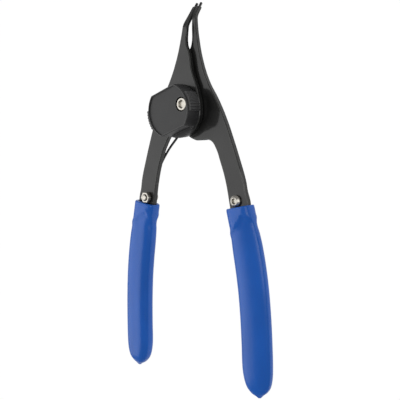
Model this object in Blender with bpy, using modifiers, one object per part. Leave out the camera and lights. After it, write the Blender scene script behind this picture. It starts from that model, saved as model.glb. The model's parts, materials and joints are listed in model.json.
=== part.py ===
"""Convertible circlip pliers with bent tips, 200 mm long.

The tool lies on its back: +Y runs from the grips to the tips, +Z is the side
with the switch knob, and X = 0 is the centre line. Two stamped levers lie one
behind the other. A knob turns in the front (left) lever and carries the pivot
screw off its own centre. The rear (right) lever swings on that screw, so a turn
of the knob moves the pivot from one side of the centre line to the other and
changes the tool from external to internal rings.

Sizes are in millimetres and become metres where a mesh is made. An outline's
points are (side, station): side is the distance from the centre line, and the
station is a percentage of the reach from the knob to the tips or to the grip ends.
"""
import math

import bmesh
import bpy
from mathutils import Vector

MM = 0.001

# The whole tool
TOOL_LENGTH = 200.0
JAW_REACH = 56.4
PLATE = 2.85
PLATE_GAP = 0.3
EDGE = 0.4
GAP = 0.3
OVERCUT = 1.0

# Bent jaw ends, as slopes of depth over length
LEAN_SLOPE = 0.075
LEAN_START = 7.4
LEAN_ROUND = 4.0
BEND_SLOPE = 0.66
BEND_BACK = 7.8
BEND_ROUND = 1.6
TIP_THICKNESS_SHARE = 0.75
TIP_PIN_RADIUS = 0.7
TIP_PIN_LENGTH = 2.6
TIP_PIN_SIDE = 1.45

# Switch knob
KNOB_SIDE = -3.9
KNOB_RADIUS = 13.9
KNOB_FLAT_WIDTH = 22.2
KNOB_TURN = 17.8
KNOB_HEIGHT = 9.3
KNOB_RIM = 0.6
FACE_RECESS = 0.7
KNOB_CHAMFER = 0.3
PAD_CHAMFER = 0.1
FLANGE_HEIGHT = 2.2
BOSS_RADIUS = 4.0
BOSS_PLAY = 0.25
PAD_PROUD = 1.5
PAD_HALF_ANGLE = 20.0
PAD_TOP_BELOW_RIM = 0.8
PAD_RIBS = 7
PAD_RIB_DEPTH = 0.4
WASHER_THICKNESS = 0.5

# Pivot screw, off the knob's centre
PIVOT_OFFSET = 9.3
PIVOT_RADIUS = 2.5
PIVOT_PLAY = 0.25
PIVOT_HEAD_RADIUS = 3.25
PIVOT_HEAD_HEIGHT = 2.4
COUNTERBORE_PLAY = 0.5
COUNTERBORE_STEP = 0.3
PIVOT_SOCKET = 4.0
RETAINER_RADIUS = 4.4
RETAINER_THICKNESS = 0.6
PEEN_RADIUS = 3.2
PEEN_HEIGHT = 0.7

# Return spring
WIRE = 1.2
COIL_RADIUS = 3.6
COIL_PITCH = 1.4
COIL_EXTRA_TURNS = 2
LEG_KINK_SIDE = 27.0
LEG_KINK_BACK = 33.6
LEG_RISE_START = 22.0
LEG_RISE_END = 30.0
LEG_STRAIGHT = 3.0
RIGHT_RISE_START = 10.0
RIGHT_RISE_BEFORE_SCREW = 14.0
LEFT_PAST_SCREW = 0.6
RIGHT_PAST_SCREW = 2.4

# Anchor screws on the handles
SCREW_SIDE = 29.5
SCREW_BACK = 45.8
SCREW_RADIUS = 1.5
SCREW_PLAY = 0.25
SPACER_RADIUS = 2.2
FRONT_HEAD_RADIUS = 3.0
FRONT_HEAD_HEIGHT = 1.8
BACK_HEAD_RADIUS = 2.6
BACK_HEAD_HEIGHT = 1.3
FRONT_SOCKET = 2.9
BACK_SOCKET = 2.0
SCREW_CHAMFER = 0.3
SOCKET_DEPTH = 1.2
NUT_FLATS = 5.5
NUT_HEIGHT = 2.3
NUT_CHAMFER = 0.2
SCREW_END = 0.7
HEAD_CROWN = 0.62
HEAD_SHOULDER = 0.5
SOCKET_SHARE = 0.6

# Dipped grips
GRIP_LENGTH = 95.0
GRIP_THICKNESS = 9.0
GRIP_RISE = 0.4
GRIP_SQUARENESS = 0.58
POCKET_MOUTH = (0.8, 5.0)
COLLAR_WIDTH = 14.2
TANG_WIDTH = 11.6
TANG_END = 89.5

# Where things stand, worked out from the sizes above
TIP_Y = TOOL_LENGTH / 2
KNOB_Y = TIP_Y - JAW_REACH
HANDLE_REACH = TOOL_LENGTH - JAW_REACH
KNOB_AXIS = (KNOB_SIDE, KNOB_Y)
TURN = math.radians(KNOB_TURN)
PIVOT_AXIS = (KNOB_SIDE + PIVOT_OFFSET * math.cos(TURN), KNOB_Y + PIVOT_OFFSET * math.sin(TURN))
SCREW_Y = KNOB_Y - SCREW_BACK
PITCH = PLATE + PLATE_GAP
BEND_ANGLE = math.atan(LEAN_SLOPE + BEND_SLOPE)
JAW_END_BACK = (TIP_PIN_LENGTH + GAP / 2) * math.cos(BEND_ANGLE) + TIP_PIN_RADIUS * math.sin(BEND_ANGLE)


def fold(distance, slope, rounding):
    """Depth that a plate has gained a distance past a fold with a rounded start."""
    if distance <= -rounding:
        return 0.0
    if distance < rounding:
        return slope * (distance + rounding) ** 2 / (4 * rounding)
    return slope * distance


def jaw_depth(y, bend_back):
    """How far the jaw has leant and bent back at y."""
    lean = fold(y - KNOB_Y - LEAN_START - LEAN_ROUND, LEAN_SLOPE, LEAN_ROUND)
    return lean + fold(y - TIP_Y + bend_back, BEND_SLOPE, BEND_ROUND)


def jaw_angle(y, bend_back, step=0.05):
    """Angle that the jaw has bent back through at y."""
    return math.atan((jaw_depth(y + step, bend_back) - jaw_depth(y - step, bend_back)) / (2 * step))


FRONT_BEND_BACK = BEND_BACK + PITCH / BEND_SLOPE
JAW_END_DEPTH = PITCH / 2 + jaw_depth(TIP_Y - JAW_END_BACK, BEND_BACK)
PIN_DROP = (TIP_PIN_LENGTH + GAP / 2) * math.sin(BEND_ANGLE) + TIP_PIN_RADIUS * math.cos(BEND_ANGLE)
PLATES_Z = JAW_END_DEPTH + PIN_DROP
FRONT_Z = PLATES_Z + PITCH / 2
REAR_Z = PLATES_Z - PITCH / 2
FRONT_FACE = FRONT_Z + PLATE / 2
REAR_BACK = REAR_Z - PLATE / 2
KNOB_BASE = FRONT_FACE + GAP
KNOB_TOP = KNOB_BASE + KNOB_HEIGHT
KNOB_FACE = KNOB_TOP - FACE_RECESS
COIL_TOP = REAR_BACK - GAP - WIRE / 2
LEFT_LEG_Z = FRONT_FACE - PLATE - GAP - WIRE / 2

parts = bpy.data.collections.new("circlip_pliers")
cutters = bpy.data.collections.new("cutters")


def jaw_y(percent):
    return KNOB_Y + JAW_REACH * percent / 100


def handle_y(percent):
    return KNOB_Y - HANDLE_REACH * percent / 100


def material(name, colour, roughness, metallic=0.0):
    """A Principled material of the part's own colour."""
    made = bpy.data.materials.new(name)
    made.use_nodes = True
    shader = made.node_tree.nodes["Principled BSDF"]
    shader.inputs["Base Color"].default_value = (*colour, 1.0)
    shader.inputs["Roughness"].default_value = roughness
    shader.inputs["Metallic"].default_value = metallic
    made.diffuse_color = (*colour, 1.0)
    return made


def link(obj, collection, surface=None):
    """Put an object in its collection and give it its material."""
    collection.objects.link(obj)
    if collection is cutters:
        obj.hide_render = True
        obj.display_type = "WIRE"
    if surface is not None:
        obj.data.materials.clear()
        obj.data.materials.append(surface)
    return obj


def flat_curve(outlines, origin, thickness, edge):
    """A filled flat curve, thick and with broken edges, about its middle plane."""
    curve = bpy.data.curves.new("outline", "CURVE")
    curve.dimensions = "2D"
    curve.fill_mode = "BOTH"
    curve.resolution_u = 5
    curve.extrude = (thickness / 2 - edge) * MM
    curve.bevel_depth = edge * MM
    curve.bevel_resolution = 0
    curve.offset = -edge * MM
    for points, smooth in outlines:
        spline = curve.splines.new("BEZIER" if smooth else "POLY")
        targets = spline.bezier_points if smooth else spline.points
        targets.add(len(points) - 1)
        for target, point in zip(targets, points):
            place = ((point[0] - origin[0]) * MM, (point[1] - origin[1]) * MM, 0.0)
            if smooth:
                handle = "VECTOR" if len(point) > 2 else "AUTO"
                target.co = place
                target.handle_left_type = handle
                target.handle_right_type = handle
            else:
                target.co = (*place, 1.0)
        spline.use_cyclic_u = True
    return curve


def mesh_of_curve(name, curve, origin, z, collection, surface=None):
    """Turn a curve into a closed mesh object that stands at the origin given."""
    drawn = bpy.data.objects.new(name + "_curve", curve)
    bpy.context.scene.collection.objects.link(drawn)
    bpy.context.view_layer.update()
    solid = drawn.evaluated_get(bpy.context.evaluated_depsgraph_get())
    mesh = bpy.data.meshes.new_from_object(solid)
    bpy.data.objects.remove(drawn)
    shape = bmesh.new()
    shape.from_mesh(mesh)
    bmesh.ops.remove_doubles(shape, verts=shape.verts, dist=0.00001)
    bmesh.ops.recalc_face_normals(shape, faces=shape.faces)
    shape.to_mesh(mesh)
    shape.free()
    mesh.set_sharp_from_angle(angle=math.radians(35))
    obj = bpy.data.objects.new(name, mesh)
    obj.location = (origin[0] * MM, origin[1] * MM, z * MM)
    return link(obj, collection, surface)


def plate(name, outlines, origin, z, thickness, collection, surface=None, edge=EDGE):
    """A flat stamped piece with its holes, z at its middle."""
    curve = flat_curve(outlines, origin, thickness, edge)
    return mesh_of_curve(name, curve, origin, z, collection, surface)


def arc(centre, radius, start, end, steps):
    """Points on an arc from start to end, in degrees."""
    angles = [math.radians(start + (end - start) * i / steps) for i in range(steps + 1)]
    return [(centre[0] + radius * math.cos(a), centre[1] + radius * math.sin(a)) for a in angles]


def circle(centre, radius, steps=28):
    return arc(centre, radius, 0, 360, steps)[:-1]


def turned(name, axis, profile, collection, surface=None, steps=28):
    """A turned piece from its (radius, z) profile, which runs down the outer side."""
    mesh = bpy.data.meshes.new(name)
    rims = [(radius * MM, 0.0, z * MM) for radius, z in profile]
    edges = [(i, i + 1) for i in range(len(rims) - 1)]
    if profile[0][0] > 0:
        edges.append((len(rims) - 1, 0))
    mesh.from_pydata(rims, edges, [])
    obj = bpy.data.objects.new(name, mesh)
    obj.location = (axis[0] * MM, axis[1] * MM, 0.0)
    screw = obj.modifiers.new("turn", "SCREW")
    screw.steps = steps
    screw.render_steps = steps
    screw.use_merge_vertices = True
    screw.merge_threshold = 0.00001
    screw.use_smooth_shade = False
    return link(obj, collection, surface)


def cut(obj, cutter, operation="DIFFERENCE"):
    """Join or cut an object with another by an exact Boolean."""
    step = obj.modifiers.new(operation.lower(), "BOOLEAN")
    step.operation = operation
    step.object = cutter
    step.solver = "EXACT"


def prism(name, axis, low, high, across_flats, sides=6):
    """A polygonal cutter such as a socket."""
    radius = across_flats / 2 / math.cos(math.pi / sides)
    shape = bmesh.new()
    bmesh.ops.create_cone(shape, cap_ends=True, segments=sides, radius1=radius * MM,
                          radius2=radius * MM, depth=(high - low) * MM)
    mesh = bpy.data.meshes.new(name)
    shape.to_mesh(mesh)
    shape.free()
    obj = bpy.data.objects.new(name, mesh)
    obj.location = (axis[0] * MM, axis[1] * MM, (low + high) / 2 * MM)
    return link(obj, cutters)


def wire(name, points, origin, surface):
    """A round wire through the points given."""
    curve = bpy.data.curves.new(name, "CURVE")
    curve.dimensions = "3D"
    curve.bevel_depth = WIRE / 2 * MM
    curve.bevel_resolution = 2
    curve.use_fill_caps = True
    spline = curve.splines.new("POLY")
    spline.points.add(len(points) - 1)
    for target, (x, y, z) in zip(spline.points, points):
        target.co = ((x - origin[0]) * MM, (y - origin[1]) * MM, z * MM, 1.0)
    return mesh_of_curve(name, curve, origin, 0.0, parts, surface)


# Levers

JAW_END_SIDES = (0.3, 2.5)
JAW_OUTER = [(2.55, 94.5), (2.8, 86.0), (3.25, 77.5), (4.5, 64.5), (7.05, 46.8), (11.55, 27.3), (18.1, 8.1)]
HANDLE_OUTER = [(23.1, 3.9), (27.1, 10.9), (30.7, 17.8), (34.0, 24.8), (35.1, 28.6), (36.5, 31.8)]
HANDLE_INNER = [(22.5, 24.8), (19.2, 17.8)]
JAW_INNER = [(0.3, 93.5), (0.3, 77.5), (0.3, 60.0), (-1.4, 53.5), (-4.0, 35.6), (-8.0, 18.4)]
FRONT_HEEL = (-15.2, 12.0)
REAR_FILLET = [(17.0, 13.9), (13.5, 10.9), (8.0, 10.7), (3.0, 10.5)]
REAR_HUB = [(-4.5, 7.2), (-9.0, 1.5)]
REAR_SHOULDER = (-9.8, 8.0)
GRIP_LINE = [(31.25, 35.3), (35.3, 48.8), (38.5, 63.8), (39.9, 79.1), (40.2, TANG_END)]


def grip_line(shift):
    """Points along the tang, to one side of its centre line."""
    return [(side + shift, handle_y(station)) for side, station in GRIP_LINE]


def lever_edges():
    """The outer edge and the inner handle edge of the right-hand lever."""
    half = TANG_WIDTH / 2
    jaw = [(side, jaw_y(station)) for side, station in JAW_OUTER]
    outer = jaw + [(side, handle_y(station)) for side, station in HANDLE_OUTER] + grip_line(half)
    outer[-1] = (*outer[-1], "corner")
    inner = grip_line(-half)[::-1] + [(side, handle_y(station)) for side, station in HANDLE_INNER]
    inner[0] = (*inner[0], "corner")
    return outer, inner


def jaw_edge():
    """The inner edge of the right-hand jaw, from the hub to the rounded end."""
    edge = [(side, jaw_y(station)) for side, station in JAW_INNER[::-1]]
    end_y = TIP_Y - JAW_END_BACK
    return edge + [(side, end_y, "corner") for side in JAW_END_SIDES]


def bend_jaw(obj, bend_back):
    """Slice the flat jaw across, thin it towards its end and bend it back."""
    shape = bmesh.new()
    shape.from_mesh(obj.data)
    start = KNOB_Y + LEAN_START
    end = TIP_Y - JAW_END_BACK
    bend = TIP_Y - FRONT_BEND_BACK - BEND_ROUND
    coarse = [start + (bend - start) * i / 12 for i in range(13)]
    fine = [bend + (end - bend) * i / 11 for i in range(1, 11)]
    for y in coarse + fine:
        geometry = shape.verts[:] + shape.edges[:] + shape.faces[:]
        cut_point = Vector((0.0, y * MM, 0.0)) - obj.location
        cut_point.z = 0.0
        bmesh.ops.bisect_plane(shape, geom=geometry, dist=0.0000001, plane_co=cut_point, plane_no=(0, 1, 0))
    bmesh.ops.triangulate(shape, faces=shape.faces)
    for vert in shape.verts:
        y = (vert.co.y + obj.location.y) / MM
        along = min(max((y - start) / (bend - start), 0.0), 1.0)
        height = vert.co.z * (1.0 - (1.0 - TIP_THICKNESS_SHARE) * along)
        angle = jaw_angle(y, bend_back)
        vert.co.y += height * math.sin(angle)
        vert.co.z = height * math.cos(angle) - jaw_depth(y, bend_back) * MM
    shape.to_mesh(obj.data)
    shape.free()


def mirrored(points):
    return [(-point[0], *point[1:]) for point in points]


def front_lever(steel):
    """Left lever: a round hub under the knob, with the knob's bore and the pivot's arc slot."""
    outer, inner = lever_edges()
    hub_radius = KNOB_RADIUS - GAP
    hub = arc(KNOB_AXIS, hub_radius, -118, -8, 5)
    jaw = mirrored(jaw_edge())
    heel = [(FRONT_HEEL[0], handle_y(FRONT_HEEL[1]))]
    outline = mirrored(outer) + mirrored(inner) + heel + hub + jaw
    inner_arc = PIVOT_OFFSET - PIVOT_RADIUS - PIVOT_PLAY
    outer_arc = PIVOT_OFFSET + PIVOT_RADIUS + PIVOT_PLAY
    low, high = -180 - KNOB_TURN, KNOB_TURN
    slot = arc(KNOB_AXIS, outer_arc, low, high, 26)
    slot += arc(PIVOT_AXIS, PIVOT_RADIUS + PIVOT_PLAY, high, high + 180, 8)[1:-1]
    slot += arc(KNOB_AXIS, inner_arc, high, low, 20)
    far_end = (2 * KNOB_SIDE - PIVOT_AXIS[0], PIVOT_AXIS[1])
    slot += arc(far_end, PIVOT_RADIUS + PIVOT_PLAY, low + 180, low + 360, 8)[1:-1]
    bore = circle(KNOB_AXIS, BOSS_RADIUS + BOSS_PLAY)
    hole = circle((-SCREW_SIDE, SCREW_Y), SCREW_RADIUS + SCREW_PLAY, 20)
    shapes = [(outline, True), (slot, False), (bore, False), (hole, False)]
    obj = plate("front_lever", shapes, KNOB_AXIS, FRONT_Z, PLATE, parts, steel)
    bend_jaw(obj, FRONT_BEND_BACK)
    return obj


def rear_lever(steel):
    """Right lever: its hub swings on the pivot screw."""
    outer, inner = lever_edges()
    hub = [(side, handle_y(station)) for side, station in REAR_FILLET + REAR_HUB]
    hub.append((REAR_SHOULDER[0], jaw_y(REAR_SHOULDER[1])))
    outline = outer + inner + hub + jaw_edge()
    bore = circle(PIVOT_AXIS, PIVOT_RADIUS + PIVOT_PLAY)
    hole = circle((SCREW_SIDE, SCREW_Y), SCREW_RADIUS + SCREW_PLAY, 20)
    shapes = [(outline, True), (bore, False), (hole, False)]
    obj = plate("rear_lever", shapes, PIVOT_AXIS, REAR_Z, PLATE, parts, steel)
    bend_jaw(obj, BEND_BACK)
    return obj


def tip_pin(name, side, steel):
    """A round tip that carries on the line of the bent jaw end."""
    shape = bmesh.new()
    bmesh.ops.create_cone(shape, cap_ends=True, segments=16, radius1=TIP_PIN_RADIUS * MM,
                          radius2=TIP_PIN_RADIUS * MM, depth=TIP_PIN_LENGTH * MM)
    mesh = bpy.data.meshes.new(name)
    shape.to_mesh(mesh)
    shape.free()
    obj = bpy.data.objects.new(name, mesh)
    along = GAP / 2 + TIP_PIN_LENGTH / 2
    y = TIP_Y - JAW_END_BACK + along * math.cos(BEND_ANGLE)
    z = PLATES_Z - JAW_END_DEPTH - along * math.sin(BEND_ANGLE)
    obj.location = (side * MM, y * MM, z * MM)
    obj.rotation_euler = (-math.pi / 2 - BEND_ANGLE, 0.0, 0.0)
    return link(obj, parts, steel)


# Switch knob and pivot

def knob_section(inset=0.0):
    """A circle with two flats, drawn in by the inset; its long axis runs through the pivot screw."""
    radius = KNOB_RADIUS - inset
    half = KNOB_FLAT_WIDTH / 2 - inset
    corner = math.degrees(math.asin(half / radius))
    right = arc(KNOB_AXIS, radius, KNOB_TURN - corner, KNOB_TURN + corner, 14)
    left = arc(KNOB_AXIS, radius, KNOB_TURN + 180 - corner, KNOB_TURN + 180 + corner, 14)
    return right + left


def slab(name, points, low, high, edge):
    """A flat-sided cutter between two heights, drawn about the knob's axis."""
    return plate(name, [(points, False)], KNOB_AXIS, (low + high) / 2, high - low, cutters, None, edge)


def thumb_pad(turn):
    """A raised sector with fine ribs along the knob's axis."""
    inner = arc(KNOB_AXIS, KNOB_RADIUS - OVERCUT, turn + PAD_HALF_ANGLE, turn - PAD_HALF_ANGLE, 4)
    crest = KNOB_RADIUS + PAD_PROUD
    teeth = []
    count = PAD_RIBS * 2
    for i in range(count + 1):
        angle = math.radians(turn - PAD_HALF_ANGLE + 2 * PAD_HALF_ANGLE * i / count)
        radius = crest if i % 2 else crest - PAD_RIB_DEPTH
        teeth.append((KNOB_SIDE + radius * math.cos(angle), KNOB_Y + radius * math.sin(angle)))
    return teeth + inner


def switch_knob(plastic):
    """Flange, flatted body with a sunk face, thumb pads and centre boss, with the screw's counterbore."""
    flange_top = KNOB_BASE + FLANGE_HEIGHT
    boss_end = FRONT_Z - PLATE / 2
    brow = KNOB_RADIUS - KNOB_CHAMFER
    flange = [(0, flange_top), (brow, flange_top), (KNOB_RADIUS, flange_top - KNOB_CHAMFER),
              (KNOB_RADIUS, KNOB_BASE + KNOB_CHAMFER), (brow, KNOB_BASE),
              (BOSS_RADIUS, KNOB_BASE), (BOSS_RADIUS, boss_end), (0, boss_end)]
    knob = turned("selector_knob", KNOB_AXIS, flange, parts, plastic, 48)
    body_low = KNOB_BASE + FLANGE_HEIGHT / 2
    cut(knob, slab("knob_body", knob_section(), body_low, KNOB_TOP, KNOB_CHAMFER), "UNION")
    for name, turn in (("pad_near", KNOB_TURN), ("pad_far", KNOB_TURN + 180)):
        cut(knob, slab(name, thumb_pad(turn), body_low, KNOB_TOP - PAD_TOP_BELOW_RIM, PAD_CHAMFER), "UNION")
    cut(knob, slab("face_recess", knob_section(KNOB_RIM), KNOB_FACE, KNOB_TOP + OVERCUT, 0.0))
    bore = PIVOT_RADIUS + PIVOT_PLAY
    step = KNOB_FACE - COUNTERBORE_STEP - PIVOT_HEAD_HEIGHT - GAP / 2
    head_hole = PIVOT_HEAD_RADIUS + COUNTERBORE_PLAY
    well = [(0, KNOB_TOP + OVERCUT), (head_hole, KNOB_TOP + OVERCUT), (head_hole, step), (bore, step),
            (bore, KNOB_BASE - OVERCUT), (0, KNOB_BASE - OVERCUT)]
    cut(knob, turned("screw_well", PIVOT_AXIS, well, cutters))
    ring_high = KNOB_BASE + WASHER_THICKNESS
    ring_outer = PIVOT_OFFSET - PIVOT_RADIUS
    ring_low = KNOB_BASE - OVERCUT
    ring = [(BOSS_RADIUS - PAD_CHAMFER, ring_high), (ring_outer, ring_high), (ring_outer, ring_low),
            (BOSS_RADIUS, ring_low)]
    cut(knob, turned("washer_recess", KNOB_AXIS, ring, cutters))
    return knob


def washer(name, axis, inner, outer, low, high, surface):
    """A plain ring."""
    return turned(name, axis, [(inner, high), (outer, high), (outer, low), (inner, low)], parts, surface)


def pivot_screw(zinc):
    """Socket head in the knob's face, a shank through both levers and a peened end."""
    top = KNOB_FACE - COUNTERBORE_STEP
    under = top - PIVOT_HEAD_HEIGHT
    retainer_low = retainer_top() - RETAINER_THICKNESS
    peen_top = retainer_low - GAP / 2
    end = peen_top - PEEN_HEIGHT
    profile = [(0, top), (PIVOT_HEAD_RADIUS - SCREW_CHAMFER, top), (PIVOT_HEAD_RADIUS, top - SCREW_CHAMFER),
               (PIVOT_HEAD_RADIUS, under), (PIVOT_RADIUS, under), (PIVOT_RADIUS, peen_top),
               (PEEN_RADIUS, peen_top), (PEEN_RADIUS - SCREW_CHAMFER, end), (0, end)]
    screw = turned("pivot_screw", PIVOT_AXIS, profile, parts, zinc)
    cut(screw, prism("pivot_socket", PIVOT_AXIS, top - SOCKET_DEPTH, top + OVERCUT, PIVOT_SOCKET))
    return screw


def retainer_top():
    """Height of the retaining washer's upper face, under the coil."""
    return COIL_TOP - coil_turns() * COIL_PITCH - WIRE / 2 - GAP


# Return spring

def unit(x, y):
    length = math.hypot(x, y)
    return x / length, y / length


def tangent_angle(target):
    """Where on the coil a straight leg to the target leaves it, on the clockwise side."""
    x = target[0] - PIVOT_AXIS[0]
    y = target[1] - PIVOT_AXIS[1]
    return math.degrees(math.atan2(y, x) + math.acos(COIL_RADIUS / math.hypot(x, y)))


def left_leg_angle():
    x = -LEG_KINK_SIDE - PIVOT_AXIS[0]
    y = KNOB_Y - LEG_KINK_BACK - PIVOT_AXIS[1]
    return math.degrees(math.atan2(y, x) - math.acos(COIL_RADIUS / math.hypot(x, y)))


def leg_rest(side):
    """Where a leg bears on the inner side of its spacer."""
    reach = SCREW_SIDE - SPACER_RADIUS - GAP - WIRE / 2
    return side * reach, SCREW_Y


def coil_turns():
    sweep = (left_leg_angle() - tangent_angle(leg_rest(1))) % 360
    return COIL_EXTRA_TURNS + sweep / 360


def coil(first, last, step=15):
    """Points of the coil between two winding angles counted from the left leg."""
    count = max(2, round((last - first) / step))
    points = []
    for i in range(count + 1):
        wound = first + (last - first) * i / count
        angle = math.radians(left_leg_angle() - wound)
        x = PIVOT_AXIS[0] + COIL_RADIUS * math.cos(angle)
        y = PIVOT_AXIS[1] + COIL_RADIUS * math.sin(angle)
        points.append((x, y, COIL_TOP - COIL_PITCH * wound / 360))
    return points


def toward(start, end, distance):
    """The point at a distance on the way from start to end."""
    x, y = unit(end[0] - start[0], end[1] - start[1])
    return start[0] + x * distance, start[1] + y * distance


def return_spring(steel):
    """Two halves of the torsion spring, which part in the middle of the coil."""
    wound = coil_turns() * 360
    split = wound / 2
    gap = math.degrees(GAP / COIL_RADIUS) / 2
    rest_x, rest_y = leg_rest(-1)
    kink = (-LEG_KINK_SIDE, KNOB_Y - LEG_KINK_BACK)
    leave = coil(0, 1)[0]
    left = [(rest_x, rest_y - LEFT_PAST_SCREW, LEFT_LEG_Z), (rest_x, rest_y + LEG_STRAIGHT, LEFT_LEG_Z),
            (*kink, LEFT_LEG_Z), (*toward(leave, kink, LEG_RISE_END), LEFT_LEG_Z),
            (*toward(leave, kink, LEG_RISE_START), COIL_TOP)]
    wire("return_spring_left", left + coil(0, split - gap), PIVOT_AXIS, steel)
    rest = leg_rest(1)
    leave = coil(wound - 1, wound)[-1]
    reach = math.hypot(rest[0] - leave[0], rest[1] - leave[1])
    ramp = [(RIGHT_RISE_START, leave[2]), (reach - RIGHT_RISE_BEFORE_SCREW, COIL_TOP),
            (reach + RIGHT_PAST_SCREW, COIL_TOP)]
    right = [(*toward(leave, rest, distance), z) for distance, z in ramp]
    wire("return_spring_right", coil(split + gap, wound) + right, PIVOT_AXIS, steel)


# Anchor screws

def anchor(side, zinc):
    """Screw, nut and spacer that hold one leg of the spring behind a handle."""
    name = "left" if side < 0 else "right"
    axis = (side * SCREW_SIDE, SCREW_Y)
    face = FRONT_FACE if side < 0 else FRONT_FACE - PITCH
    leg_z = LEFT_LEG_Z if side < 0 else COIL_TOP
    spacer_top = face - PLATE - GAP / 2
    spacer_low = leg_z - WIRE / 2 - GAP
    washer(name + "_spacer", axis, SCREW_RADIUS + SCREW_PLAY, SPACER_RADIUS, spacer_low, spacer_top, zinc)
    if side < 0:
        seat, way, nut_seat = spacer_low - GAP / 2, -1, face + GAP / 2
        head_radius, head_height, socket = BACK_HEAD_RADIUS, BACK_HEAD_HEIGHT, BACK_SOCKET
    else:
        seat, way, nut_seat = face + GAP / 2, 1, spacer_low - GAP / 2
        head_radius, head_height, socket = FRONT_HEAD_RADIUS, FRONT_HEAD_HEIGHT, FRONT_SOCKET
    crown = seat + way * head_height
    shoulder = seat + way * head_height * HEAD_SHOULDER
    shank_end = nut_seat - way * (NUT_HEIGHT + SCREW_END)
    brow = (head_radius - SCREW_CHAMFER, shoulder + way * SCREW_CHAMFER)
    profile = [(0, crown), (head_radius * HEAD_CROWN, crown), brow, (head_radius, shoulder),
               (head_radius, seat), (SCREW_RADIUS, seat),
               (SCREW_RADIUS, shank_end + way * SCREW_CHAMFER), (SCREW_RADIUS - SCREW_CHAMFER, shank_end),
               (0, shank_end)]
    if way < 0:
        profile = profile[::-1]
    screw = turned(name + "_anchor_screw", axis, profile, parts, zinc, 20)
    low, high = sorted((crown + way * OVERCUT, crown - way * head_height * SOCKET_SHARE))
    cut(screw, prism(name + "_socket", axis, low, high, socket))
    nut_middle = nut_seat - way * NUT_HEIGHT / 2
    corner = NUT_FLATS / 2 / math.cos(math.pi / 6)
    outline = arc(axis, corner, 0, 300, 5)
    hole = circle(axis, SCREW_RADIUS + SCREW_PLAY, 20)
    shapes = [(outline, False), (hole, False)]
    plate(name + "_anchor_nut", shapes, axis, nut_middle, NUT_HEIGHT, parts, zinc, NUT_CHAMFER)


# Grips

GRIP_RINGS = [(30.95, 0.0, 0.93, 0.84), (31.1, 0.8, 1.0, 0.92), (32.2, 6.0, 1.0, 0.92),
              (33.4, 11.5, 1.0, 0.92), (34.0, 14.5, 1.06, 0.97), (35.3, 21.5, 1.12, 1.0),
              (37.1, 32.5, 1.14, 1.0), (38.5, 44.0, 1.14, 1.0), (39.5, 58.0, 1.14, 1.0),
              (40.0, 72.0, 1.14, 1.0), (40.2, 84.0, 1.13, 1.0), (40.5, 90.0, 1.04, 0.95),
              (40.8, 94.5, 0.86, 0.84), (41.0, 97.6, 0.6, 0.62), (41.15, 99.3, 0.34, 0.36),
              (41.2, 100.0, 0.12, 0.14)]


def grip_ring(place, heading, width, thickness, steps=24):
    """One rounded section of the grip, square to its line."""
    across = Vector((heading.y, -heading.x, 0.0))
    points = []
    for i in range(steps):
        angle = 2 * math.pi * (i + 0.5) / steps
        c, s = math.cos(angle), math.sin(angle)
        u = math.copysign(abs(c) ** GRIP_SQUARENESS, c) * width / 2
        w = math.copysign(abs(s) ** GRIP_SQUARENESS, s) * thickness / 2
        points.append((place + across * u + Vector((0, 0, w))) * MM)
    return points


def grip(name, side, vinyl):
    """A dipped vinyl grip: one skin lofted along the handle, hollow for the tang."""
    z = FRONT_Z if side < 0 else REAR_Z
    places = []
    for ring_side, percent, _, _ in GRIP_RINGS:
        y = -TIP_Y + GRIP_LENGTH * (1 - percent / 100)
        places.append(Vector((side * ring_side, y, z + GRIP_RISE)))
    shape = bmesh.new()
    rings = []
    for i, (_, _, width, thickness) in enumerate(GRIP_RINGS):
        heading = (places[min(i + 1, len(places) - 1)] - places[max(i - 1, 0)]).normalized()
        points = grip_ring(places[i], heading, COLLAR_WIDTH * width, GRIP_THICKNESS * thickness)
        rings.append([shape.verts.new(point) for point in points])
    count = len(rings[0])
    for near, far in zip(rings, rings[1:]):
        for j in range(count):
            k = (j + 1) % count
            shape.faces.new((near[j], near[k], far[k], far[j]))
    shape.faces.new(rings[0])
    shape.faces.new(rings[-1])
    bmesh.ops.recalc_face_normals(shape, faces=shape.faces)
    mesh = bpy.data.meshes.new(name)
    shape.to_mesh(mesh)
    shape.free()
    mesh.shade_smooth()
    mesh.set_sharp_from_angle(angle=math.radians(40))
    obj = link(bpy.data.objects.new(name, mesh), parts, vinyl)
    half = TANG_WIDTH / 2 + GAP
    line = [(mid, handle_y(station)) for mid, station in GRIP_LINE]
    start = (line[0][0] - POCKET_MOUTH[0], line[0][1] + POCKET_MOUTH[1])
    centre = [start] + line
    centre[-1] = (centre[-1][0], centre[-1][1] - GAP)
    edge = [(side * (mid + half), y) for mid, y in centre]
    edge += [(side * (mid - half), y) for mid, y in centre[::-1]]
    for corner in (0, len(centre) - 1, len(centre), len(edge) - 1):
        edge[corner] = (*edge[corner], "corner")
    pocket = plate(name + "_pocket", [(edge, True)], (0, 0), z, PLATE + 2 * GAP, cutters, None, 0.0)
    cut(obj, pocket)
    return obj


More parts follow.
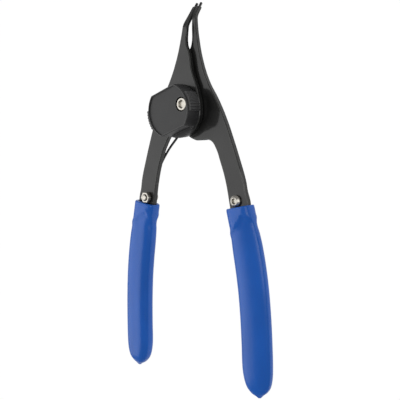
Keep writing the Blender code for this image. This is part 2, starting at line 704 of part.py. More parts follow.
def build():
    for obj in list(bpy.data.objects):
        bpy.data.objects.remove(obj, do_unlink=True)
    for collection in (parts, cutters):
        bpy.context.scene.collection.children.link(collection)
    steel = material("black_oxide_steel", (0.08, 0.08, 0.078), 0.5, 0.6)
    spring_steel = material("spring_steel", (0.05, 0.05, 0.05), 0.4, 0.8)
    plastic = material("moulded_nylon", (0.03, 0.03, 0.032), 0.55)
    zinc = material("zinc_plate", (0.62, 0.62, 0.6), 0.3, 1.0)
    vinyl = material("dipped_vinyl", (0.04, 0.11, 0.42), 0.35)
    front_lever(steel)
    rear_lever(steel)
    tip_pin("left_tip_pin", -TIP_PIN_SIDE, spring_steel)
    tip_pin("right_tip_pin", TIP_PIN_SIDE, spring_steel)
    switch_knob(plastic)
    ring_low = KNOB_BASE - GAP / 2
    ring_outer = PIVOT_OFFSET - PIVOT_RADIUS - 2 * PIVOT_PLAY
    washer("knob_friction_washer", KNOB_AXIS, BOSS_RADIUS + BOSS_PLAY, ring_outer, ring_low,
           ring_low + WASHER_THICKNESS, zinc)
    pivot_screw(zinc)
    washer("pivot_retainer", PIVOT_AXIS, PIVOT_RADIUS + PIVOT_PLAY, RETAINER_RADIUS,
           retainer_top() - RETAINER_THICKNESS, retainer_top(), zinc)
    return_spring(spring_steel)
    for side in (-1, 1):
        anchor(side, zinc)
        grip("left_grip" if side < 0 else "right_grip", side, vinyl)


build()
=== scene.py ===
# %% [markdown]
# Circlip pliers with a switch knob
#
# These pliers spread or squeeze circlips. Two stamped steel levers cross under a black knob, and the knob
# carries the pivot screw off its own centre, so a good half turn swaps the tool from external rings to
# internal ones. The working model, with its joints, is loaded first. Everything made here is finish and
# fine form laid over it: rounded edges, dipped vinyl, spring wire, and the light that shows them.

# %% Load the working model
import json
import math

import bmesh
import bpy
from mathutils import Matrix, Vector


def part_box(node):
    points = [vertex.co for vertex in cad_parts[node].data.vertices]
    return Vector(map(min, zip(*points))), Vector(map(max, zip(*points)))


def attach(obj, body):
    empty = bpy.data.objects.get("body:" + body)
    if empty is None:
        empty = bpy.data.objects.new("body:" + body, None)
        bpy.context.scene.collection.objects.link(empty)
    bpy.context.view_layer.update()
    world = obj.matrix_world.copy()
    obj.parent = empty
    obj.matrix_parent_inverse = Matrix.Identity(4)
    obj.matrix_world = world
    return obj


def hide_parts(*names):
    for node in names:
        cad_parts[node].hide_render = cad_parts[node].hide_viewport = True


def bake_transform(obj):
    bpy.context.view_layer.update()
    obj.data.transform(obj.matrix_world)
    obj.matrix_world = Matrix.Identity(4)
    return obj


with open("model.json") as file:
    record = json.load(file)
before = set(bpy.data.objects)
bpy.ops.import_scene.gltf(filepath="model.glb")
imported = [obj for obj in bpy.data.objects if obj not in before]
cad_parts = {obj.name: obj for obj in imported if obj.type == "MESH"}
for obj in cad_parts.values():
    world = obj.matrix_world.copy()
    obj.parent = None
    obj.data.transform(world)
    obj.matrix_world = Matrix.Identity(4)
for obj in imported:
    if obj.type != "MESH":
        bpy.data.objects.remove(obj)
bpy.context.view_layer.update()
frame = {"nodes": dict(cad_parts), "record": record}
MM = 0.001

# %% [markdown]
# The camera
#
# The tool lies on its back and the camera looks down on it from its right-hand side, with the tips at the
# top of the picture. The place was solved from edges that are straight or round on the real tool, so it is
# written as an aim point between the plates, a distance, three angles and the lens in millimetres.

# %% Camera
AIM_ACROSS = 5.88
AIM_ALONG = -2.55
AIM_BELOW_KNOB = 12.6
DISTANCE = 334.4
SWING = math.radians(41.04)
RISE = math.radians(4.97)
ROLL = math.radians(-1.33)
LENS = 58.04
SENSOR = 36.0

knob_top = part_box("selector_knob")[1].z
AIM = Vector((AIM_ACROSS * MM, AIM_ALONG * MM, knob_top - AIM_BELOW_KNOB * MM))
back = Vector((math.sin(SWING) * math.cos(RISE), math.sin(RISE), math.cos(SWING) * math.cos(RISE)))
right = Vector((0, 1, 0)).cross(back).normalized()
up = back.cross(right)
rolled_right = right * math.cos(ROLL) + up * math.sin(ROLL)
rolled_up = up * math.cos(ROLL) - right * math.sin(ROLL)
turn = Matrix((rolled_right, rolled_up, back)).transposed()

lens = bpy.data.cameras.new("camera")
lens.lens = LENS
lens.sensor_width = SENSOR
camera = bpy.data.objects.new("camera", lens)
camera.location = AIM + back * (DISTANCE * MM)
camera.rotation_euler = turn.to_euler()
bpy.context.scene.collection.objects.link(camera)
bpy.context.scene.camera = camera
print("camera height in mm:", round(camera.location.z / MM))


# %% [markdown]
# Colours and nodes
#
# Colours are picked as sRGB hex values, the way a colour picker gives them, and one function turns them
# into the linear values that shaders use. A second one adds a node, sets its options and fills its inputs:
# a value is typed in, and a socket is linked. A third starts each material empty.

# %% Colour and node helpers
def linear(hex_colour):
    """An sRGB hex colour as linear red, green, blue and alpha."""
    channels = [int(hex_colour[i:i + 2], 16) / 255 for i in (1, 3, 5)]
    return [c / 12.92 if c <= 0.04045 else ((c + 0.055) / 1.055) ** 2.4 for c in channels] + [1.0]


def add(tree, kind, inputs=None, **options):
    """Add a node, set its options, and type in or link its inputs."""
    made = tree.nodes.new(kind)
    for name, value in options.items():
        setattr(made, name, value)
    for name, value in (inputs or {}).items():
        if isinstance(value, bpy.types.NodeSocket):
            tree.links.new(value, made.inputs[name])
        else:
            made.inputs[name].default_value = value
    return made


def new_material(name):
    """An empty node material and the output that its shader goes into."""
    made = bpy.data.materials.new(name)
    made.use_nodes = True
    made.node_tree.nodes.clear()
    return made, made.node_tree, made.node_tree.nodes.new("ShaderNodeOutputMaterial")


print("middle grey as a linear value:", round(linear("#808080")[0], 3))


# %% [markdown]
# Light table
#
# The tool was photographed without a shadow, which is how a light table shows things: a sheet of opal
# acrylic lit from below. The sheet gives off light itself, so it stays pure white under the tool. It is
# metered to look white, and the part of its light that reaches the tool is less, because louvres under
# such a sheet send the light straight up: so what the camera sees and the light that is given have a
# strength each.

# %% Light table
FILL_FROM_BELOW = 0.75
SHEET_HALF_SIDE = 3.0  # metres


def white_but_giving(tree, given):
    """A strength of 1 for what the camera sees, and another for the light that reaches the tool."""
    path = add(tree, "ShaderNodeLightPath")
    strength = add(tree, "ShaderNodeMapRange", {
        "Value": path.outputs["Is Camera Ray"], "To Min": given, "To Max": 1.0})
    return strength.outputs[0]


floor_material, tree, output = new_material("backlit opal acrylic")
acrylic = add(tree, "ShaderNodeBsdfPrincipled", {
    "Base Color": linear("#202020"), "Roughness": 0.9, "Specular IOR Level": 0.0,
    "Emission Color": linear("#FFFFFF"), "Emission Strength": white_but_giving(tree, FILL_FROM_BELOW)})
tree.links.new(acrylic.outputs[0], output.inputs[0])
floor_mesh = bpy.data.meshes.new("floor")
shape = bmesh.new()
bmesh.ops.create_grid(shape, x_segments=1, y_segments=1, size=SHEET_HALF_SIDE)
shape.to_mesh(floor_mesh)
shape.free()
floor_mesh.materials.append(floor_material)
floor = bpy.data.objects.new("floor", floor_mesh)
bpy.context.scene.collection.objects.link(floor)
print("light table:", floor_material.name)

# %% [markdown]
# Studio light
#
# A pale even sky stands for the white walls of the studio, which look white and light the tool only weakly.
# One large soft lamp at the left lights the faces: the oil film on the steel mirrors it, and that is nearly
# all the brightness that a black face has, so where the knob blocks its way the lever goes black. A smaller
# one beside the camera draws the thin bright lines along broken edges.

# %% Studio light
SKY_STRENGTH = 0.27

world = bpy.data.worlds.new("studio")
world.use_nodes = True
background = world.node_tree.nodes["Background"]
background.inputs["Color"].default_value = linear("#FFFFFF")
world.node_tree.links.new(white_but_giving(world.node_tree, SKY_STRENGTH), background.inputs["Strength"])
bpy.context.scene.world = world
bpy.context.scene.view_settings.view_transform = "Standard"


def softbox(name, place, size, power):
    """A square area lamp, in millimetres and watts, that faces the tool."""
    lamp = bpy.data.lights.new(name, "AREA")
    lamp.size = size * MM
    lamp.energy = power
    holder = bpy.data.objects.new(name, lamp)
    holder.location = Vector(place) * MM
    holder.rotation_euler = (AIM - holder.location).to_track_quat("-Z", "Y").to_euler()
    bpy.context.scene.collection.objects.link(holder)


softbox("key_softbox", place=(-560, -60, 600), size=1000, power=4.0)
softbox("camera_softbox", place=(520, 90, 560), size=420, power=1.1)
print("lamps:", [lamp.name for lamp in bpy.data.lights])


# %% [markdown]
# Uneven colour, edge polish and painted edge highlights
#
# Two things make a dark part look real. Its colour is never quite even, so a noise pattern makes it a
# little darker and paler. And its edges are painted paler, partly as polish from handling and partly as a
# painted highlight where an edge would catch the light. The edges are found by comparing the true direction
# of the surface with one that is averaged over a millimetre or so around each point. On a flat face the two
# agree, and over an edge they turn apart.

# %% Uneven colour, edge polish and painted edge highlights
NOISE_LOW, NOISE_HIGH = 0.3, 0.7  # nearly all of a noise pattern lies between these
FLAT, EDGE = 0.985, 0.86  # cosine of the angle between the two directions
SAMPLES = 6


def uneven_colour(tree, pattern, hex_colour, spread):
    """A colour that a noise pattern makes darker and paler, by a share of its brightness."""
    tint = add(tree, "ShaderNodeMapRange", {
        "Value": pattern, "From Min": NOISE_LOW, "From Max": NOISE_HIGH,
        "To Min": 1 - spread, "To Max": 1 + spread})
    shade = add(tree, "ShaderNodeHueSaturation", {"Value": tint.outputs[0], "Color": linear(hex_colour)})
    return shade.outputs[0]


# painted highlight and polish from handling: the mask that makes edges paler
def edge_wear_and_highlight(tree, reach_mm, most):
    """How much polish and painted highlight a point's colour gets: 0 on a flat face and the most on an
    edge.
    """
    surface = add(tree, "ShaderNodeNewGeometry")
    averaged = add(tree, "ShaderNodeBevel", {"Radius": reach_mm * MM}, samples=SAMPLES)
    agreement = add(tree, "ShaderNodeVectorMath", {0: surface.outputs["Normal"], 1: averaged.outputs[0]},
                    operation="DOT_PRODUCT")
    wear_and_highlight = add(tree, "ShaderNodeMapRange", {
        "Value": agreement.outputs["Value"], "From Min": FLAT, "From Max": EDGE,
        "To Min": 0.0, "To Max": most})
    return wear_and_highlight.outputs[0]


print("an edge counts as worn from", round(math.degrees(math.acos(FLAT))), "degrees")


# %% [markdown]
# Black-oxide steel
#
# The levers are stamped carbon steel with a hot black-oxide finish: a thin conversion layer that is nearly
# black, matt and slightly uneven, sealed with a film of oil. The layer hides the metal, so the metallic
# share is small. The film is the clear coat here: it mirrors the lamps and the sheet, blurred over a few
# degrees. The grain of the finish is finer than a picture shows, so it is drawn at a quarter of a
# millimetre. The outermost edges are painted a paler colour, partly for the polish of handling and partly
# as a painted highlight, the thin light line that an edge catches. The spring wire and the tips have the
# same finish, a little darker and smoother.

# %% Black-oxide steel
OXIDE_PATCH = 11
OXIDE_POLISH_AND_HIGHLIGHT_REACH = 0.9


def black_oxide(name, colour, polished_and_highlit, rough, grain_mm):
    """Steel under dark oxide and oil, with a grain in millimetres and edges painted paler: polish and a
    painted highlight.
    """
    made, tree, output = new_material(name)
    place = add(tree, "ShaderNodeTexCoord").outputs["Object"]
    patches = add(tree, "ShaderNodeTexNoise", {
        "Vector": place, "Scale": 1 / (OXIDE_PATCH * MM), "Detail": 5.0}).outputs[0]
    grain = add(tree, "ShaderNodeTexNoise", {"Vector": place, "Scale": 1 / (grain_mm * MM)})
    worn_and_highlit = add(tree, "ShaderNodeMath", {0: edge_wear_and_highlight(tree, OXIDE_POLISH_AND_HIGHLIGHT_REACH, 1.0), 1: patches},
               operation="MULTIPLY")
    blackened = uneven_colour(tree, patches, colour, 0.14)
    # edges mixed towards the paler colour: polish from handling and a painted highlight
    steel = add(tree, "ShaderNodeMixRGB", {
        "Fac": worn_and_highlit.outputs[0], "Color1": blackened, "Color2": linear(polished_and_highlit)})
    gloss = add(tree, "ShaderNodeMapRange", {
        "Value": patches, "From Min": NOISE_LOW, "From Max": NOISE_HIGH,
        "To Min": rough - 0.05, "To Max": rough + 0.07})
    bump = add(tree, "ShaderNodeBump", {
        "Height": grain.outputs[0], "Strength": 0.25, "Distance": 0.02 * MM})
    shader = add(tree, "ShaderNodeBsdfPrincipled", {
        "Base Color": steel.outputs[0], "Roughness": gloss.outputs[0], "Normal": bump.outputs[0],
        "Metallic": 0.1, "Specular IOR Level": 0.3, "Coat Weight": 0.65, "Coat Roughness": 0.1})
    tree.links.new(shader.outputs[0], output.inputs[0])
    return made


# the second colour of each is painted on the edges: polish from handling and a painted highlight
lever_steel = black_oxide("black-oxide stamped steel", "#1B1B1A", "#A0A09C", 0.5, 0.25)
wire_steel = black_oxide("oiled spring wire", "#181818", "#4A4A4A", 0.34, 0.2)
tip_steel = black_oxide("hardened tip steel", "#161616", "#5A5A58", 0.3, 0.2)
print("steel finishes:", [steel.name for steel in (lever_steel, wire_steel, tip_steel)])


# %% [markdown]
# Moulded nylon
#
# The knob is injection-moulded glass-filled nylon from a spark-eroded mould, which leaves a fine even
# texture of about 0.15 mm, drawn here at 0.3 mm so that it shows. It is a dielectric, so its highlights
# are white and soft. Its edges are smoothed by the thumb and painted paler, partly for that polish and
# partly as a painted highlight along the rims.

# %% Moulded nylon
SPARK_GRAIN = 0.3
NYLON_PATCH = 7
THUMB_POLISH_AND_HIGHLIGHT_REACH = 0.5


def moulded_nylon():
    """Black nylon with the fine grain of its mould, and edges painted paler: thumb polish and a painted
    highlight.
    """
    made, tree, output = new_material("glass-filled nylon")
    place = add(tree, "ShaderNodeTexCoord").outputs["Object"]
    spark = add(tree, "ShaderNodeTexNoise", {
        "Vector": place, "Scale": 1 / (SPARK_GRAIN * MM), "Detail": 2.0})
    patches = add(tree, "ShaderNodeTexNoise", {
        "Vector": place, "Scale": 1 / (NYLON_PATCH * MM), "Detail": 3.0}).outputs[0]
    # edges mixed towards grey: thumb polish and a painted highlight along the rims
    rubbed_and_highlit = add(tree, "ShaderNodeMixRGB", {
        "Fac": edge_wear_and_highlight(tree, THUMB_POLISH_AND_HIGHLIGHT_REACH, 0.6),
        "Color1": uneven_colour(tree, patches, "#282829", 0.08), "Color2": linear("#808080")})
    bump = add(tree, "ShaderNodeBump", {
        "Height": spark.outputs[0], "Strength": 0.3, "Distance": 0.03 * MM})
    gloss = add(tree, "ShaderNodeMapRange", {"Value": patches, "To Min": 0.42, "To Max": 0.54})
    shader = add(tree, "ShaderNodeBsdfPrincipled", {
        "Base Color": rubbed_and_highlit.outputs[0], "Roughness": gloss.outputs[0], "IOR": 1.53,
        "Normal": bump.outputs[0]})
    tree.links.new(shader.outputs[0], output.inputs[0])
    return made


nylon = moulded_nylon()
print("knob finish:", nylon.name)


# %% [markdown]
# Zinc plate
#
# The screws, nuts, washers and spacers are steel with bright zinc plate, a soft silver metal. Plating
# builds up unevenly, so its gloss changes over a millimetre or so. The sockets and other hollows are
# painted darker, a painted shade where little of the sky can be seen from the surface.

# %% Zinc plate
PLATING_PATCH = 0.8
SOCKET_DEPTH = 1.6


def zinc_plate():
    """Silver plating with patchy gloss, and painted shade in its hollows."""
    made, tree, output = new_material("bright zinc plate")
    place = add(tree, "ShaderNodeTexCoord").outputs["Object"]
    patches = add(tree, "ShaderNodeTexNoise", {
        "Vector": place, "Scale": 1 / (PLATING_PATCH * MM), "Detail": 3.0})
    # painted shade: the ambient occlusion finds where the surface is hidden from the sky
    hollow_shade = add(tree, "ShaderNodeAmbientOcclusion", {
        "Distance": SOCKET_DEPTH * MM, "Color": linear("#FFFFFF")}, samples=SAMPLES)
    unshaded_share = add(tree, "ShaderNodeMapRange", {
        "Value": hollow_shade.outputs["AO"], "From Min": 0.25, "From Max": 0.75, "To Min": 0.0, "To Max": 1.0})
    # the dark colour is painted shade in sockets and hollows, the pale one the zinc's own
    colour = add(tree, "ShaderNodeMixRGB", {
        "Fac": unshaded_share.outputs[0], "Color1": linear("#4A463F"), "Color2": linear("#C8C4BB")})
    gloss = add(tree, "ShaderNodeMapRange", {"Value": patches.outputs[0], "To Min": 0.2, "To Max": 0.4})
    shader = add(tree, "ShaderNodeBsdfPrincipled", {
        "Base Color": colour.outputs[0], "Roughness": gloss.outputs[0], "Metallic": 0.9})
    tree.links.new(shader.outputs[0], output.inputs[0])
    return made


zinc = zinc_plate()
print("fastener finish:", zinc.name)


# %% [markdown]
# Dipped vinyl
#
# The grips are PVC plastisol: the heated handles are dipped, and the paste gels into a skin that is smooth,
# glossy and a little translucent. Slow ripples a few centimetres long come from the paste running down, and
# a finer orange peel of a millimetre or two softens the reflections.

# %% Dipped vinyl
RIPPLE = 9
RIPPLE_DRAWN_OUT = 0.35  # along the grip the ripples are about three times as long
ORANGE_PEEL = 1.6


def dipped_vinyl():
    """Blue vinyl with long ripples and fine orange peel."""
    made, tree, output = new_material("dipped PVC plastisol")
    place = add(tree, "ShaderNodeTexCoord").outputs["Object"]
    drawn_out = add(tree, "ShaderNodeMapping", {"Vector": place, "Scale": (1.0, RIPPLE_DRAWN_OUT, 1.0)})
    ripple = add(tree, "ShaderNodeTexNoise", {
        "Vector": drawn_out.outputs[0], "Scale": 1 / (RIPPLE * MM)}).outputs[0]
    peel = add(tree, "ShaderNodeTexNoise", {"Vector": place, "Scale": 1 / (ORANGE_PEEL * MM)})
    waves = add(tree, "ShaderNodeBump", {"Height": ripple, "Strength": 0.25, "Distance": 0.5 * MM})
    bump = add(tree, "ShaderNodeBump", {
        "Height": peel.outputs[0], "Strength": 0.05, "Distance": 0.03 * MM, "Normal": waves.outputs[0]})
    shader = add(tree, "ShaderNodeBsdfPrincipled", {
        "Base Color": uneven_colour(tree, ripple, "#1663C8", 0.07), "Roughness": 0.3, "IOR": 1.42,
        "Normal": bump.outputs[0], "Coat Weight": 0.12, "Coat Roughness": 0.1,
        "Subsurface Weight": 0.06, "Subsurface Scale": 1.2 * MM})
    tree.links.new(shader.outputs[0], output.inputs[0])
    return made


vinyl = dipped_vinyl()
print("grip finish:", vinyl.name)


# %% [markdown]
# Softened copies
#
# Stamping, moulding and turning all leave edges with a small radius, and that radius is what catches the
# light. The working model's edges are flat chamfers, so each steel, nylon and zinc part that shows gets a
# copy of its own mesh, on which a Bevel modifier rounds every edge. The copy's flat faces are first made
# whole again, because a bevel follows edges and would stumble over triangles.

# %% Helpers for the copies
FLAT_WITHIN = math.radians(0.4)
SHARP_EDGE = math.radians(24)


def copy_of(node, name, merge_mm):
    """A new piece with a node's own mesh, its split corners joined and its flat faces made whole."""
    mesh = frame["nodes"][node].data.copy()
    mesh.name = name
    shape = bmesh.new()
    shape.from_mesh(mesh)
    bmesh.ops.remove_doubles(shape, verts=shape.verts, dist=merge_mm * MM)
    bmesh.ops.dissolve_limit(shape, angle_limit=FLAT_WITHIN, verts=shape.verts, edges=shape.edges)
    shape.to_mesh(mesh)
    shape.free()
    piece = bpy.data.objects.new(name, mesh)
    bpy.context.scene.collection.objects.link(piece)
    return piece


def round_edges(piece, width_mm, segments):
    """Round every sharp edge, and shade the flats flat."""
    bevel = piece.modifiers.new("rounded edges", "BEVEL")
    bevel.width = width_mm * MM
    bevel.segments = segments
    bevel.limit_method = "ANGLE"
    bevel.angle_limit = SHARP_EDGE
    piece.data.shade_smooth()
    piece.modifiers.new("even shading", "WEIGHTED_NORMAL").keep_sharp = False


def dress(piece, node, body, surface):
    """Give a piece its finish and its body, and let it stand for a node."""
    piece.data.materials.clear()
    piece.data.materials.append(surface)
    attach(piece, body)
    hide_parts(node)


home = {node: body for body, nodes in frame["record"]["behaviour"]["bodies"].items() for node in nodes}
print("parts that have a body to ride on:", len(home))

# %% [markdown]
# Which parts are softened, and by how much
#
# Each kind of part has its finish and the slot that it fills, the distance within which split corners are
# joined, the radius of its edges and the number of steps in the rounding, with lengths in millimetres. A
# stamped lever is tumbled and gets the largest radius. A small nut or screw would lose its form with it.

# %% Softened copies
STAMPED = (lever_steel, "lever_steel", 0.2, 0.22, 3)
MOULDED = (nylon, "knob_plastic", 0.01, 0.12, 3)
GROUND = (tip_steel, "tip_steel", 0.01, 0.18, 3)
SCREW = (zinc, "zinc_plate", 0.01, 0.1, 2)
NUT = (zinc, "zinc_plate", 0.01, 0.08, 2)

softened = {
    "front_lever": STAMPED,
    "rear_lever": STAMPED,
    "selector_knob": MOULDED,
    "left_tip_pin": GROUND,
    "right_tip_pin": GROUND,
    "pivot_screw": SCREW,
    "left_anchor_screw": SCREW,
    "right_anchor_screw": SCREW,
    "left_anchor_nut": NUT,
    "right_anchor_nut": NUT,
}
for node, (surface, slot, merge_mm, width_mm, segments) in softened.items():
    piece = copy_of(node, node + "_finished", merge_mm)
    round_edges(piece, width_mm, segments)
    dress(piece, node, home[node], surface)
print("softened copies:", len(softened))

# %% [markdown]
# Vinyl grips
#
# A dipped grip is thickest where the paste runs last: it starts in a rolled lip round the flat handle,
# keeps the handle's flat form for a centimetre, swells to an oval, and ends in a pointed drop. The form is
# a loft: rows give the line and the section along the grip, a smooth curve fills in between them, and each
# section is a rounded rectangle. A row has its place as a percentage of the length from the mouth, then
# its distance from the tool's centre line, its width and its thickness in millimetres.

# %% The grips' line and sections
GRIP_LENGTH = 95.0
GRIP_ROWS = [
    (0.0, 30.95, 13.9, 8.0),
    (0.8, 31.1, 14.2, 8.3),
    (6.0, 32.2, 14.2, 8.3),
    (11.5, 33.4, 14.2, 8.3),
    (14.5, 34.0, 15.05, 8.7),
    (21.5, 35.3, 15.9, 9.0),
    (32.5, 37.1, 16.2, 9.0),
    (44.0, 38.5, 16.2, 9.0),
    (58.0, 39.5, 16.2, 9.0),
    (72.0, 40.0, 16.2, 9.0),
    (84.0, 40.2, 16.05, 9.0),
    (90.0, 40.5, 14.8, 8.55),
    (94.5, 40.8, 12.2, 7.4),
    (97.4, 41.0, 7.8, 5.2),
    (98.9, 41.15, 3.6, 3.0),
    (100.0, 41.2, 1.4, 1.4),
]


def row_at(percent):
    """Side, width and thickness at a percentage of the length, on a smooth curve through the rows."""
    last = len(GRIP_ROWS) - 1
    i = max([0] + [k for k in range(last) if GRIP_ROWS[k][0] <= percent])
    near, far = GRIP_ROWS[i], GRIP_ROWS[i + 1]
    before, after = GRIP_ROWS[max(i - 1, 0)], GRIP_ROWS[min(i + 2, last)]
    span = far[0] - near[0]
    t = (percent - near[0]) / span
    found = []
    for b, n, f, a in zip(before[1:], near[1:], far[1:], after[1:]):
        leaving = (f - b) / (far[0] - before[0]) * span
        arriving = (a - n) / (after[0] - near[0]) * span
        found.append(n * (2 * t ** 3 - 3 * t ** 2 + 1) + leaving * (t ** 3 - 2 * t ** 2 + t)
                     + f * (3 * t ** 2 - 2 * t ** 3) + arriving * (t ** 3 - t ** 2))
    return found


print("grip width half way down, in mm:", round(row_at(50)[1], 1))

# %% [markdown]
# Folds in the vinyl
#
# Where the flat collar turns into the oval body the skin has pulled into a shallow fold, an upside-down V
# with its point just under the mouth. Above the fold the skin is half a millimetre fuller, a fine rib runs
# along the fold's top, and from there it slopes down to the body. A soft ridge grows from the mouth and
# then runs the whole length, where the face of the grip turns over into its side.

# %% Fold and ridge
FOLD_POINT = 3.0
FOLD_POINT_ACROSS = 0.45
FOLD_SLOPE = 6.5
FOLD_WIDTH = 3.6
FOLD_STEP = 0.5
FOLD_RIB = 0.34
FOLD_FADES_BELOW = 2.0
CREASE = 1.25
PAST_THE_SIDE = 1.15
RIDGE_GROWS_OVER = 12


def smooth(value):
    """0 below 0, 1 above 1 and an even S between them."""
    t = min(max(value, 0.0), 1.0)
    return t * t * (3 - 2 * t)


def fold_height(along_mm, across):
    """How much fuller the fold makes the skin, at a distance from the mouth and across from -1 to 1."""
    past = along_mm - FOLD_POINT - FOLD_SLOPE * abs(across - FOLD_POINT_ACROSS)
    rib = math.exp(-(past / (FOLD_WIDTH / 3)) ** 2)
    return FOLD_STEP * (1 - smooth(past / FOLD_WIDTH)) + FOLD_RIB * rib


def ridge_share(across, ridge_at, fall):
    """How much of its height the skin keeps across the grip: all as far as the ridge, less beyond."""
    beyond = max(0.0, (across - ridge_at) / (PAST_THE_SIDE - ridge_at))
    return 1 - fall * beyond ** CREASE


def shaped_height(grip, percent, across, height):
    """A corner's height in millimetres once the fold, and on the front the ridge, have shaped it."""
    fuller = fold_height(percent / 100 * GRIP_LENGTH, across)
    height += math.copysign(fuller * min(1.0, abs(height) / FOLD_FADES_BELOW), height)
    if height <= 0:
        return height
    return height * ridge_share(across, grip["ridge_at"], grip["fall"] * smooth(percent / RIDGE_GROWS_OVER))


print("extra height at the fold's point, in mm:", round(fold_height(FOLD_POINT, FOLD_POINT_ACROSS), 2))

# %% [markdown]
# Rings of corners
#
# Each section of the grip is a ring of corners round its middle line. A rounded rectangle comes from an
# ellipse whose sine and cosine are raised to a power below one: the smaller the power, the squarer the
# ring. A grip whose paste ran less far ends sooner, so its line is drawn in over its last fifth.

# %% Rings
AROUND = 56
HEADING_STEP = 0.6
DRAWN_IN_FROM = 80


def line_point(grip, percent):
    """A point on the middle line of a grip, in millimetres."""
    drawn_in = grip["shorter"] * smooth((percent - DRAWN_IN_FROM) / (100 - DRAWN_IN_FROM))
    along = grip["end_y"] + GRIP_LENGTH * (1 - percent / 100) + drawn_in
    return Vector((grip["side"] * row_at(percent)[0], along, grip["middle_z"]))


def line_heading(grip, percent):
    """The direction in which the middle line runs there, away from the mouth."""
    before = line_point(grip, max(percent - HEADING_STEP, 0))
    beyond = line_point(grip, min(percent + HEADING_STEP, 100))
    return (beyond - before).normalized()


def ring(grip, percent, section, sink=0.0, shaped=False):
    """A ring of corners with a width, a thickness and a squareness, sunk along the line from its place."""
    width, thickness, squareness = section
    line = line_heading(grip, percent)
    sideways = Vector((-line.y, line.x, 0.0))
    centre = line_point(grip, percent) + line * sink
    corners = []
    for i in range(AROUND):
        angle = 2 * math.pi * (i + 0.5) / AROUND
        across = math.copysign(abs(math.cos(angle)) ** squareness, math.cos(angle))
        height = math.copysign(abs(math.sin(angle)) ** squareness, math.sin(angle)) * thickness / 2
        if shaped:
            height = shaped_height(grip, percent, across, height)
        corners.append((centre + sideways * (across * width / 2) + Vector((0, 0, height))) * MM)
    return corners


print("corners in a ring:", AROUND)

# %% [markdown]
# From the mouth to the drop
#
# The skin starts inside the mouth, rolls over the lip and runs down to the drop. The inner rings are the
# size of the flat handle and a little more, so a thin dark line shows between steel and vinyl, as it does
# where the skin has shrunk away from the metal. The rings lie close together at the lip, the fold and the
# drop, where the form changes fast: each run of them has its first place, its step and its count.

# %% The skin's rings
SQUARENESS = 0.64
MOUTH_WIDTH = 12.3
MOUTH_THICKNESS = 3.5
MOUTH_DEPTH = 2.6
MOUTH_SQUARENESS = 0.3
LIP = 0.45
LIP_ROLLS_OVER = 0.5
RING_RUNS = [(0.0, 0.25, 3), (0.8, 0.8, 25), (22.2, 2.2, 27), (81.0, 1.0, 15), (95.6, 0.5, 9),
             (100.0, 0.0, 1)]
RING_PLACES = [first + k * step for first, step, count in RING_RUNS for k in range(count)]


def skin_rings(grip):
    """All rings of a grip's skin, from inside the mouth to the drop."""
    mouth = (MOUTH_WIDTH, MOUTH_THICKNESS, MOUTH_SQUARENESS)
    lip = (MOUTH_WIDTH + LIP, MOUTH_THICKNESS + LIP, MOUTH_SQUARENESS)
    rings = [ring(grip, 0, mouth, sink=MOUTH_DEPTH), ring(grip, 0, mouth, sink=LIP / 2), ring(grip, 0, lip)]
    for percent in RING_PLACES:
        _, width, thickness = row_at(percent)
        rolled = LIP * (1 - math.sqrt(min(percent / LIP_ROLLS_OVER, 1.0)))
        rings.append(ring(grip, percent, (width - rolled, thickness - rolled, SQUARENESS), shaped=True))
    return rings


print("rings outside the mouth:", len(RING_PLACES))


# %% [markdown]
# Lofting a grip
#
# A loft joins each ring to the next with a band of four-sided faces and closes both ends. The real skins
# differ a little, as hand-dipped ones do: each grip has its own ridge, its own fall beyond the ridge, and
# its own end.

# %% Loft the grips
def loft(name, rings):
    """A closed piece whose skin runs from ring to ring."""
    shape = bmesh.new()
    made = [[shape.verts.new(corner) for corner in corners] for corners in rings]
    for near, far in zip(made, made[1:]):
        for j in range(AROUND):
            k = (j + 1) % AROUND
            shape.faces.new((near[j], near[k], far[k], far[j]))
    shape.faces.new(made[0])
    shape.faces.new(made[-1])
    bmesh.ops.recalc_face_normals(shape, faces=shape.faces)
    mesh = bpy.data.meshes.new(name)
    shape.to_mesh(mesh)
    shape.free()
    mesh.shade_smooth()
    piece = bpy.data.objects.new(name, mesh)
    bpy.context.scene.collection.objects.link(piece)
    return piece


def grip_skin(name, side, ridge_at, fall, shorter):
    """The vinyl skin that stands for a grip of the working model."""
    low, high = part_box(name)
    grip = {"side": side, "ridge_at": ridge_at, "fall": fall, "shorter": shorter,
            "end_y": low.y / MM, "middle_z": (low.z + high.z) / 2 / MM}
    piece = loft(name + "_skin", skin_rings(grip))
    dress(piece, name, home[name], vinyl)
    return piece


left_skin = grip_skin("left_grip", side=-1, ridge_at=0.45, fall=0.35, shorter=0.9)
right_skin = grip_skin("right_grip", side=1, ridge_at=-0.3, fall=0.7, shorter=0.0)
print("grip skin faces:", len(left_skin.data.polygons), len(right_skin.data.polygons))

# %% [markdown]
# Spring wire
#
# The spring is one wire: a leg behind each handle and a coil round the pivot. The working model holds it
# as two stiff halves that part in the middle of the coil. Here each half becomes a copy whose cut end is
# drawn out to meet the other. The cut ends are found by their faces: on the coil, only they look along
# the wire.

# %% Find the cut ends
COIL_REACH = 4.6
LOOKS_ALONG = 0.9
SPLIT_CORNERS = 0.01
SPRING_NODES = ("return_spring_left", "return_spring_right")
joints = {joint["name"]: joint for joint in frame["record"]["behaviour"]["joints"]}
spring_axis = Vector(joints["lever_squeeze"]["pos_m"])


def cut_end(shape):
    """The corners of the wire's cut end: those of the faces on the coil that look along it."""
    found = set()
    for face in shape.faces:
        out = face.calc_center_median() - spring_axis
        out.z = 0.0
        along_coil = Vector((-out.y, out.x, 0.0)).normalized()
        if out.length < COIL_REACH * MM and abs(face.normal.dot(along_coil)) > LOOKS_ALONG:
            found.update(face.verts)
    return [vert for vert in shape.verts if vert in found]


def centre_of(verts):
    """The middle of some corners."""
    return sum((vert.co for vert in verts), Vector()) / len(verts)


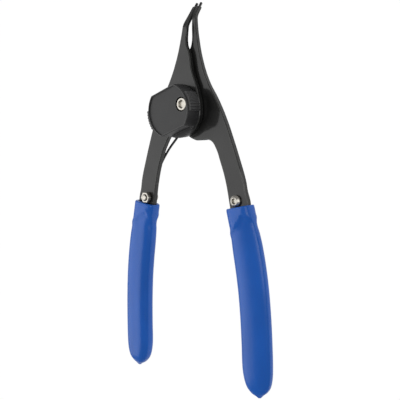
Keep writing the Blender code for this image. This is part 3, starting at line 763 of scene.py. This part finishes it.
shapes = []
for node in SPRING_NODES:
    shape = bmesh.new()
    shape.from_mesh(frame["nodes"][node].data)
    bmesh.ops.remove_doubles(shape, verts=shape.verts, dist=SPLIT_CORNERS * MM)
    shape.normal_update()
    shapes.append(shape)
ends = [cut_end(shape) for shape in shapes]
left_centre, right_centre = [centre_of(end) for end in ends]
gap = right_centre - left_centre
meeting = left_centre.z + gap.z / 2
print("gap closed in the coil, in mm:", round(gap.length / MM, 2))

# %% Join the wire
wires = []
for node, shape, end, way in zip(SPRING_NODES, shapes, ends, (0.5, -0.5)):
    for vert in end:
        vert.co += gap * way
    mesh = bpy.data.meshes.new(node + "_wire")
    shape.to_mesh(mesh)
    shape.free()
    mesh.shade_smooth()
    piece = bpy.data.objects.new(node + "_wire", mesh)
    bpy.context.scene.collection.objects.link(piece)
    mesh.materials.append(wire_steel)
    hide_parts(node)
    wires.append(piece)
left_wire, right_wire = wires
print("coil meets at z in mm:", round(meeting / MM, 2))

# %% [markdown]
# The coil's middle
#
# When the handles close or the knob turns, a torsion spring winds up. Here the middle of the coil, where
# the halves meet, and the reach from it to the farthest point of the right half, seen from above, are
# found, and each half's place is written into its own mesh. The wire is not blended, so it keeps its shape.

# %% Find the coil's middle and bake the wire in place
middle = Vector((spring_axis.x, spring_axis.y, meeting))
to_leg = max((vert.co - middle for vert in right_wire.data.vertices), key=lambda reach: reach.length)
to_leg.z = 0.0
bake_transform(left_wire)
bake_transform(right_wire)

# %% [markdown]
# Round wire
#
# The working model's wire has few sides. A Subdivision Surface modifier makes it round, and draws it in a
# little as it does, so a Displace modifier gives the thickness back.

# %% Round wire
ROUNDING = 2
SMOOTHING_LOSS = 0.06
for piece in wires:
    finer = piece.modifiers.new("round wire", "SUBSURF")
    finer.levels = ROUNDING
    finer.render_levels = ROUNDING
    fuller = piece.modifiers.new("full thickness", "DISPLACE")
    fuller.mid_level = 0.0
    fuller.strength = SMOOTHING_LOSS * MM
print("spring pieces:", [piece.name for piece in wires])

# %% [markdown]
# Dressing the rest
#
# Washers and spacers are right as they are, so they keep their own meshes and get the zinc finish. The
# loop dresses every part of the working model, and a part that has a piece standing for it stays hidden.

# %% Finishes on the parts
SMOOTH_BELOW = math.radians(38)
for node in frame["nodes"].values():
    node.data.materials.clear()
    node.data.materials.append(zinc)
    node.data.shade_smooth()
    node.data.set_sharp_from_angle(angle=SMOOTH_BELOW)
print("parts dressed:", len(frame["nodes"]))
